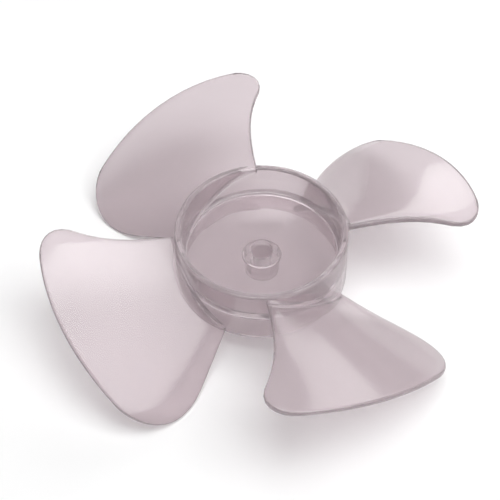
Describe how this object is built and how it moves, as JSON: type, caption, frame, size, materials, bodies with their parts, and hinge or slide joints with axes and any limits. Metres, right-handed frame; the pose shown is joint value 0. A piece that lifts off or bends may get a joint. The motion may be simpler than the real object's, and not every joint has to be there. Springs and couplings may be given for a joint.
{
  "type": "furnace impeller",
  "caption": "Clear smoky plastic axial fan impeller with pitched blades, a short open hub and a bored boss.",
  "frame": {"origin": "on the axis of the bore, level with the lowest points of the blades, which the part rests on", "axes": "+Z along the bore's axis, from the boss end towards the open recess; +X along one blade's high edge, so that the picture is taken from above the -Y side"},
  "size_m": [0.1004, 0.1004, 0.0216],
  "materials": {
    "clear_smoke_plastic": "glossy, transparent, with a pinkish grey tint"
  },
  "bodies": {
    "root": {"impeller": "clear_smoke_plastic"}
  },
  "joints": []
}
